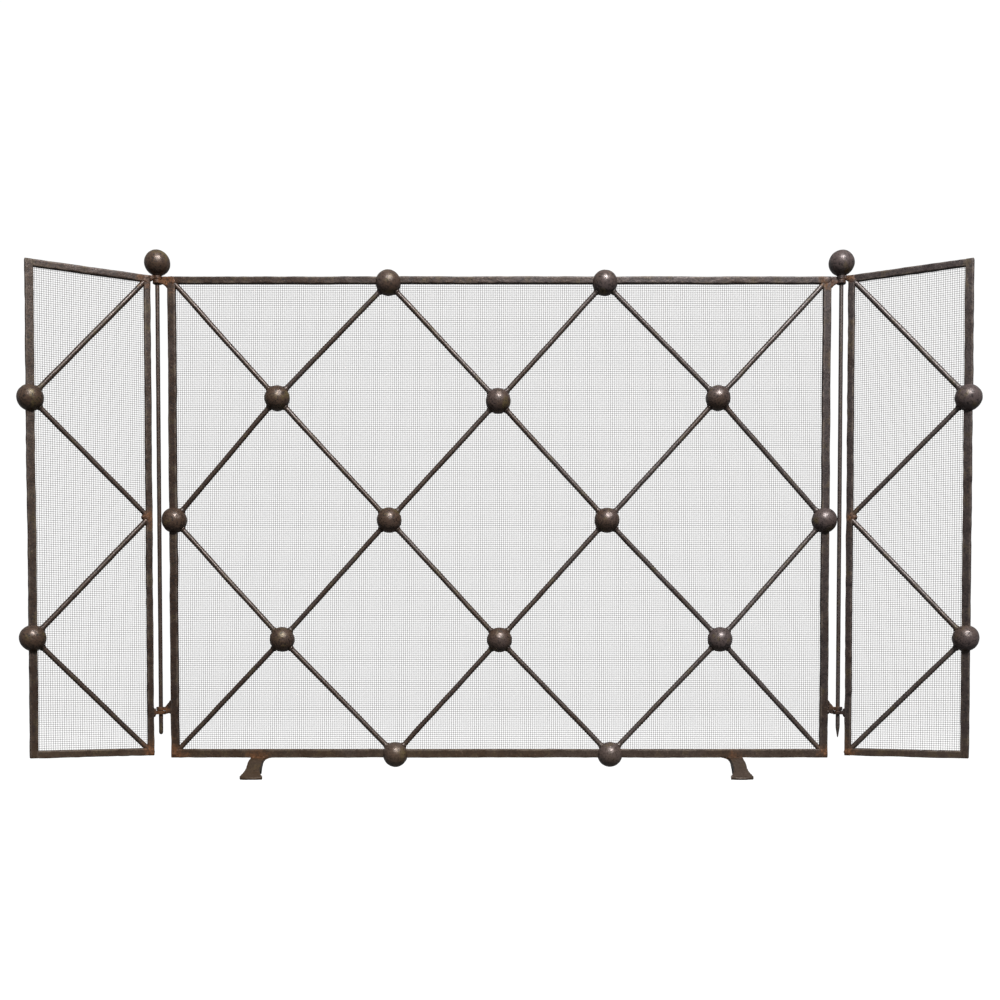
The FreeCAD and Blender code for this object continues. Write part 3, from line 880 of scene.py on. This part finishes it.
def spaced(low, high):
    """Places of the wires between two edges, half a pitch in from each."""
    count = int((high - low) / WIRE_PITCH)
    start = (low + high - (count - 1) * WIRE_PITCH) / 2
    return start + WIRE_PITCH * np.arange(count)


# ---- strips ----

def add_strips(panel, node, upright, places, balls, material, seed):
    """Thin flat strips that clamp the mesh, broken wherever a ball is in the way."""
    low, high = panel.extent(node)
    depth = (low[1] + high[1]) / 2
    thickness = high[1] - low[1]
    run = 2 if upright else 0
    side = 0 if upright else 2
    width = 2 * (min(places) - low[side])
    sweeps = []
    for number, place in enumerate(places):
        stops = [ball[run] for ball in balls if abs(ball[side] - place) < width]
        edges = [low[run]] + sorted(stops) + [high[run]]
        for part, (a, b) in enumerate(zip(edges, edges[1:])):
            start, end = np.zeros(3), np.zeros(3)
            start[side] = end[side] = place
            start[1] = end[1] = depth
            start[run] = a + (BALL_HOLE if part else 0)
            end[run] = b - (BALL_HOLE if part < len(edges) - 2 else 0)
            outline = bar_outline(width, thickness, thickness / 3)
            strip = sweep(
                start, end, outline, STRIP_STEP, thickness / 3, (STRIP_DENTS,), STRIP_WANDER, seed + number
            )
            sweeps.append(strip)
    name = panel.prefix + node
    add_swept("forged_" + name, panel, sweeps, material, [name])


# ---- eyes, pins, finials and feet ----

def add_eye(node, body, axis, root, material, seed):
    """A hinge eye: the CAD eye and weld beads at its root, fused and with its bore kept clear of the pin."""
    low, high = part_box(node)
    middle = (np.array(low) + np.array(high)) / 2
    toward = np.array([root[0] - axis[0], root[1] - axis[1], 0.0])
    toward /= np.linalg.norm(toward)
    at_root = np.array([root[0], root[1], 0.0])
    beads = [
        lump(at_root + [0, 0, low[2] + EYE_BEAD_INSET], EYE_LOW_BEAD),
        lump(at_root + [0, 0, high[2] - EYE_BEAD_INSET], EYE_HIGH_BEAD),
        lump(at_root - toward * EYE_MIDDLE_INSET + [0, 0, middle[2]], EYE_MIDDLE_BEAD),
    ]
    name = "forged_" + node
    mesh = fused(name, [node_shell(node)] + beads, FINE_VOXEL, 3, (EYE_DENTS,), seed)
    points = coordinates(mesh)
    away = points[:, :2] - np.array(axis[:2])
    radius = np.linalg.norm(away, axis=1)
    bore = PIN_RADIUS + BORE_CLEARANCE
    inside = radius < bore
    points[inside, :2] = np.array(axis[:2]) + away[inside] * (bore / radius[inside])[:, None]
    mesh.vertices.foreach_set("co", points.astype(np.float32).ravel())
    mesh.update()
    add_iron(name, mesh, body, material, [node], rust=EYE_RUST)


def add_pin(side, axis, material, pointed, seed):
    """The hinge pin's rod, up into its finial. Its lower end is drawn to a point, or rounded."""
    node = f"{side}_pin_rod"
    low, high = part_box(node)
    start = np.array([axis[0], axis[1], low[2]])
    end = np.array([axis[0], axis[1], high[2]])

    def taper(distance, length):
        return (PIN_TIP_RADIUS - PIN_RADIUS) * np.clip(1 - distance / PIN_POINT_LENGTH, 0, 1)

    end_radius = PIN_TIP_RADIUS if pointed else PIN_RADIUS
    swell = taper if pointed else None
    outline = round_outline(PIN_RADIUS)
    made = sweep(start, end, outline, ROD_STEP, end_radius, (PIN_DENTS,), PIN_WANDER, seed, swell)
    points, faces, edge = made
    mesh = any_mesh("forged_" + node, points, faces)
    add_iron("forged_" + node, mesh, f"{side}_pin", material, [node], edge)


def add_finial(side, axis, material, seed):
    """The ball on its cone neck, fused into one forged piece."""
    node = f"{side}_pin_finial"
    low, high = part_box(node)
    ball = ball_shell([axis[0], axis[1], high[2] - BALL_RADIUS], seed)
    neck = [lump([axis[0], axis[1], low[2] + raised], radii) for raised, radii in NECK_BEADS]
    name = "forged_" + node
    mesh = fused(name, [ball, node_shell(node)] + neck, FINIAL_VOXEL, 3, (BALL_PITS,), seed)
    add_iron(name, mesh, f"{side}_pin", material, [node])


def add_foot(side, material, seed):
    """A forged foot: the CAD foot with weld beads along its root, softened and hammered."""
    node = f"{side}_foot"
    low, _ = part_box(node)
    rail_low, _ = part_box("centre_bottom_rail")
    centre = centre_of("centre_bottom_rail")
    foot_x = foot_centre(node)
    beads = []
    for x in FOOT_BEAD_X:
        for y in FOOT_BEAD_Y:
            beads.append(lump([foot_x + x, centre[1] + y, rail_low[2]], FOOT_BEAD))
    name = "forged_" + node
    mesh = fused(name, [node_shell(node)] + beads, FOOT_VOXEL, 5, (FORGED_DENTS, FOOT_PITS), seed)
    points = coordinates(mesh)
    points[:, 2] = np.maximum(points[:, 2], low[2])
    mesh.vertices.foreach_set("co", points.astype(np.float32).ravel())
    mesh.update()
    add_iron(name, mesh, "centre_panel", material, [node], rust=FOOT_RUST)


def foot_centre(node):
    """Where along the rail the foot's legs stand: the middle of the part near the floor."""
    points = np.array([v.co for v in nodes[node].data.vertices])
    front = points[points[:, 1] < points[:, 1].min() + 0.01]
    return (front[:, 0].min() + front[:, 0].max()) / 2


# ---- studio ----

def add_stage():
    """A seamless pale bowl: a flat floor that curves up into a wall all round."""
    profile = [(radius, 0.0) for radius in FLOOR_RINGS]
    for step in range(1, BEND_STEPS + 1):
        angle = math.radians(90 * step / BEND_STEPS)
        out = FLOOR_RADIUS + WALL_BEND * math.sin(angle)
        profile.append((out, WALL_BEND * (1 - math.cos(angle))))
    profile.append((FLOOR_RADIUS + WALL_BEND, WALL_BEND + WALL_HEIGHT))
    shape = bmesh.new()
    rings = []
    for radius, height in profile:
        ring = []
        for side in range(STAGE_SIDES):
            angle = 2 * math.pi * side / STAGE_SIDES
            ring.append(shape.verts.new((radius * math.cos(angle), radius * math.sin(angle), height)))
        rings.append(ring)
    shape.faces.new(rings[0])
    for low, high in zip(rings, rings[1:]):
        for side in range(STAGE_SIDES):
            following = (side + 1) % STAGE_SIDES
            shape.faces.new((low[side], high[side], high[following], low[following]))
    mesh = bpy.data.meshes.new("studio_floor")
    shape.to_mesh(mesh)
    shape.free()
    mesh.shade_smooth()
    g = Graph("studio_paper")
    g.shader.inputs["Base Color"].default_value = (PAPER_TONE, PAPER_TONE, PAPER_TONE, 1.0)
    g.shader.inputs["Roughness"].default_value = 0.9
    g.shader.inputs["Specular IOR Level"].default_value = 0.1
    g.shader.inputs["Emission Color"].default_value = (1.0, 1.0, 1.0, 1.0)
    g.shader.inputs["Emission Strength"].default_value = PAPER_GLOW
    mesh.materials.append(g.material)
    floor = bpy.data.objects.new("studio_floor", mesh)
    bpy.context.scene.collection.objects.link(floor)
    floor.visible_diffuse = False
    floor.visible_glossy = False


def add_light(name, place, target, size, power):
    data = bpy.data.lights.new(name, "AREA")
    data.shape = "RECTANGLE"
    data.size, data.size_y = size
    data.energy = power
    lamp = bpy.data.objects.new(name, data)
    bpy.context.scene.collection.objects.link(lamp)
    lamp.location = place
    lamp.rotation_euler = (Vector(target) - Vector(place)).to_track_quat("-Z", "Y").to_euler()


def add_studio():
    """A backlit paper bowl, a soft room that is brighter above than below, and one soft key light."""
    world = bpy.data.worlds.new("studio")
    world.use_nodes = True
    tree = world.node_tree
    background = tree.nodes["Background"]
    background.inputs["Color"].default_value = ROOM_COLOUR
    direction = tree.nodes.new("ShaderNodeTexCoord")
    parts = tree.nodes.new("ShaderNodeSeparateXYZ")
    strength = tree.nodes.new("ShaderNodeMapRange")
    for socket, value in zip(("From Min", "From Max", "To Min", "To Max"), ROOM_LIGHT):
        strength.inputs[socket].default_value = value
    tree.links.new(direction.outputs["Generated"], parts.inputs[0])
    tree.links.new(parts.outputs["Z"], strength.inputs["Value"])
    tree.links.new(strength.outputs["Result"], background.inputs["Strength"])
    bpy.context.scene.world = world
    add_stage()
    add_light("key", KEY_PLACE, KEY_TARGET, KEY_SIZE, KEY_POWER)
    bpy.context.scene.view_settings.view_transform = "Standard"


def add_camera(panel):
    data = bpy.data.cameras.new("camera")
    data.lens = LENS
    data.shift_y = SHIFT_UP
    data.clip_end = FARTHEST
    camera = bpy.data.objects.new("camera", data)
    bpy.context.scene.collection.objects.link(camera)
    camera.location = (CAMERA_X, panel.root[1] - CAMERA_DISTANCE, CAMERA_HEIGHT)
    camera.rotation_euler = (math.radians(90 + CAMERA_PITCH), 0, 0)
    bpy.context.scene.camera = camera


# ---- the screen ----

panels = make_panels()
centre = panels["centre"]
lattice = Lattice(centre)
pins = {side: panels[side].root for side in ("left", "right")}
wing_lattices = {side: wing_points(panels[side]) for side in ("left", "right")}

for column, row in lattice.corners:
    share = RUST_SHARES[column > 0][row > 0]
    Rust.mark(centre.place(lattice.point(column, row)), CORNER_RUST_REACH, share)
for side, points in wing_lattices.items():
    for i in (0, 2, 4):
        share = RUST_SHARES[side == "right"][i > 0]
        Rust.mark(panels[side].place(points[i]), WING_RUST_REACH, share)
for side in ("left", "right"):
    shares = RUST_SHARES[side == "right"]
    for owner in (f"{side}_wing", f"centre_{side}"):
        for eye in ("top_eye", "bottom_eye"):
            Rust.mark(np.array(centre_of(f"{owner}_{eye}")), EYE_RUST_REACH, shares[1])
    root = [foot_centre(f"{side}_foot"), centre.root[1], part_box("centre_bottom_rail")[0][2]]
    Rust.mark(np.array(root), FOOT_RUST_REACH, shares[0])

bar_iron = forged_iron("forged_bar_iron", tone(50, 36, 27), tone(52, 43, 41), tone(60, 49, 29), 0.04)
rod_iron = forged_iron("forged_rod_iron", tone(62, 48, 40), tone(72, 63, 60), tone(70, 60, 40), 0.10)
ball_iron = forged_iron("forged_ball_iron", tone(76, 58, 46), tone(84, 72, 70), tone(92, 79, 46), 0.12, 0.6)
strip_iron = forged_iron("strip_iron", tone(58, 46, 38), tone(70, 62, 59), tone(66, 58, 38))
wires = wire_steels()

add_frame(centre, ("left_stile", "right_stile"), bar_iron, CENTRE_SEED)
add_centre_lattice(centre, lattice, rod_iron, ball_iron)
centre_balls = lattice.balls
corner_shells = []
for column, row in lattice.corners:
    inward = -1 if column > 0 else 1
    upward = 1 if row == 0 else -1
    corner_shells += corner_weld(lattice.point(column, row), inward, upward)
add_welds("centre_corner_welds", centre, corner_shells, bar_iron, CENTRE_SEED + 200)
add_weave(centre, centre_balls, wires, WIRE_SPLIT)
stile_places = [centre.middle("left_stile")[0], centre.middle("right_stile")[0]]
rail_places = [centre.middle(rail)[2] for rail in ("bottom_rail", "top_rail")]
add_strips(centre, "side_strips", True, stile_places, centre_balls, strip_iron, CENTRE_SEED + 300)
add_strips(centre, "level_strips", False, rail_places, centre_balls, strip_iron, CENTRE_SEED + 320)

for number, side in enumerate(("left", "right")):
    wing = panels[side]
    points = wing_lattices[side]
    seed = WING_SEED + WING_SEED_STEP * number
    add_frame(wing, ("outer_stile", "hinge_stile"), bar_iron, seed)
    add_wing_lattice(wing, points, rod_iron, ball_iron, seed + 100)
    weld_shells = corner_weld(points[0], 1, 1) + corner_weld(points[4], 1, -1) + joint_weld(points[2], 1)
    add_welds(f"{side}_wing_welds", wing, weld_shells, bar_iron, seed + 200)
    wing_balls = [points[1], points[3]]
    add_weave(wing, wing_balls, wires, 1)
    stile_places = [wing.middle("hinge_stile")[0], wing.middle("outer_stile")[0]]
    rail_places = [wing.middle(rail)[2] for rail in ("bottom_rail", "top_rail")]
    add_strips(wing, "side_strips", True, stile_places, wing_balls, strip_iron, seed + 300)
    add_strips(wing, "level_strips", False, rail_places, wing_balls, strip_iron, seed + 320)
    hinge_face = wing.place([wing.extent("hinge_stile")[0][0], 0, 0])
    stile = centre.middle(f"{side}_stile")
    half_width = centre.width(f"{side}_stile") / 2
    centre_face = centre.place([stile[0] + math.copysign(half_width, stile[0]), 0, 0])
    pin = pins[side]
    for level, eye in enumerate(("top_eye", "bottom_eye")):
        add_eye(f"{side}_wing_{eye}", wing.body, pin, hinge_face, bar_iron, seed + 400 + level)
        add_eye(f"centre_{side}_{eye}", centre.body, pin, centre_face, bar_iron, seed + 410 + level)
    add_pin(side, pin, rod_iron, side == "right", seed + 500)
    add_finial(side, pin, ball_iron, seed + 520)
    add_foot(side, bar_iron, seed + 600)

steel = screw_steel()
for prefix in ("centre_", "left_wing_", "right_wing_"):
    screws = nodes[prefix + "strip_screws"]
    screws.data.materials.clear()
    screws.data.materials.append(steel)

add_studio()
add_camera(centre)
